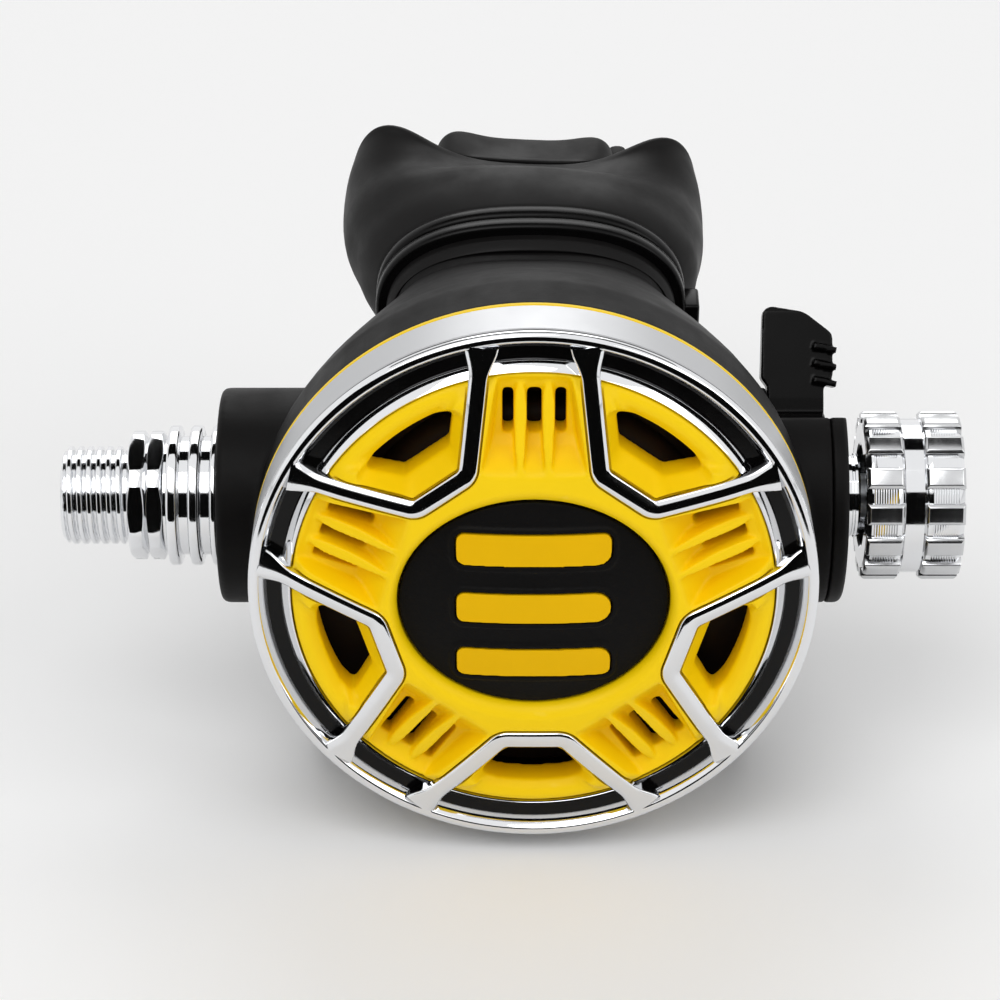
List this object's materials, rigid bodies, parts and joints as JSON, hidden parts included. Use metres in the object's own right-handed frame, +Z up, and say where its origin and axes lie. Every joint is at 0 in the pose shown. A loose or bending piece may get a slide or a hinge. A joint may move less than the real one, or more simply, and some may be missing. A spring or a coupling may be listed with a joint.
{
  "type": "scuba regulator second stage",
  "caption": "Diving regulator second stage with a chrome and yellow front cover, purge button, black case and mouthpiece, finned inlet, knob and venturi lever.",
  "frame": {"origin": "on the valve barrel's axis at the mouth of the hose inlet", "axes": "+X along the barrel from the inlet to the knob, +Y back towards the diver's mouth, +Z up"},
  "size_m": [0.1295, 0.1072, 0.0813],
  "materials": {
    "black_nylon": "matte",
    "black_gloss": "satin",
    "yellow_plastic": "satin",
    "chrome": "polished",
    "rubber": "matte",
    "brass": "satin",
    "steel": "satin",
    "white_acetal": "matte",
    "silicone": "satin"
  },
  "bodies": {
    "housing": {"case": "black_nylon", "side_cap": "black_nylon", "cover_ring": "chrome", "front_cover": "yellow_plastic", "clamp_ring": "white_acetal", "diaphragm": "silicone", "valve_barrel": "brass", "inlet_connector": "chrome", "cooling_fins": "chrome", "inlet_ring": "rubber", "orifice": "brass", "orifice_ring": "rubber", "packing_nut": "chrome", "exhaust_valve": "silicone", "exhaust_tee": "black_nylon", "mouthpiece": "rubber", "mouthpiece_tie": "black_gloss", "purge_spring": "steel", "poppet_spring": "steel"},
    "purge": {"purge_pad": "rubber", "purge_core": "yellow_plastic"},
    "diaphragm_disc": {"diaphragm_plate": "white_acetal"},
    "lever": {"demand_lever": "steel"},
    "poppet_body": {"poppet": "white_acetal", "poppet_seat": "rubber", "lever_nut": "brass"},
    "adjuster": {"spring_pad": "white_acetal"},
    "knob_body": {"knob": "chrome", "adjuster_screw": "brass", "knob_screw": "steel", "adjuster_ring": "rubber"},
    "venturi": {"venturi_lever": "black_gloss", "venturi_vane": "black_gloss"}
  },
  "joints": [
    {"name": "purge_press", "type": "slide", "parent": "housing", "child": "purge", "axis": [0, 1, 0], "range_m": [0, 0.0026], "stiffness_N_per_m": 300, "springref_m": -0.0005, "deforming": ["purge_spring", "diaphragm"]},
    {"name": "diaphragm_travel", "type": "slide", "parent": "housing", "child": "diaphragm_disc", "axis": [0, 1, 0], "range_m": [0, 0.0026]},
    {"name": "lever_swing", "type": "hinge", "parent": "housing", "child": "lever", "pos_m": [0.0848, -0.0064, 0], "axis": [0, 0, -1], "range_deg": [0, 9]},
    {"name": "poppet_lift", "type": "slide", "parent": "housing", "child": "poppet_body", "axis": [1, 0, 0], "range_m": [0, 0.0006], "deforming": ["poppet_spring"]},
    {"name": "knob_turn", "type": "hinge", "parent": "adjuster", "child": "knob_body", "pos_m": [0.1178, 0, 0], "axis": [-1, 0, 0], "range_deg": [0, 864.01]},
    {"name": "adjuster_travel", "type": "slide", "parent": "housing", "child": "adjuster", "axis": [-1, 0, 0], "range_m": [0, 0.0024], "deforming": ["poppet_spring"]},
    {"name": "venturi_turn", "type": "hinge", "parent": "housing", "child": "venturi", "pos_m": [0.1058, 0, 0], "axis": [1, 0, 0], "range_deg": [-22, 22]}
  ],
  "couplings": [
    {"joint": "diaphragm_travel", "follows": "purge_press", "ratio": 1},
    {"joint": "lever_swing", "follows": "purge_press", "rad_per_m": 60},
    {"joint": "poppet_lift", "follows": "purge_press", "ratio": 0.2},
    {"joint": "knob_turn", "follows": "adjuster_travel", "rad_per_m": 6283.2}
  ]
}
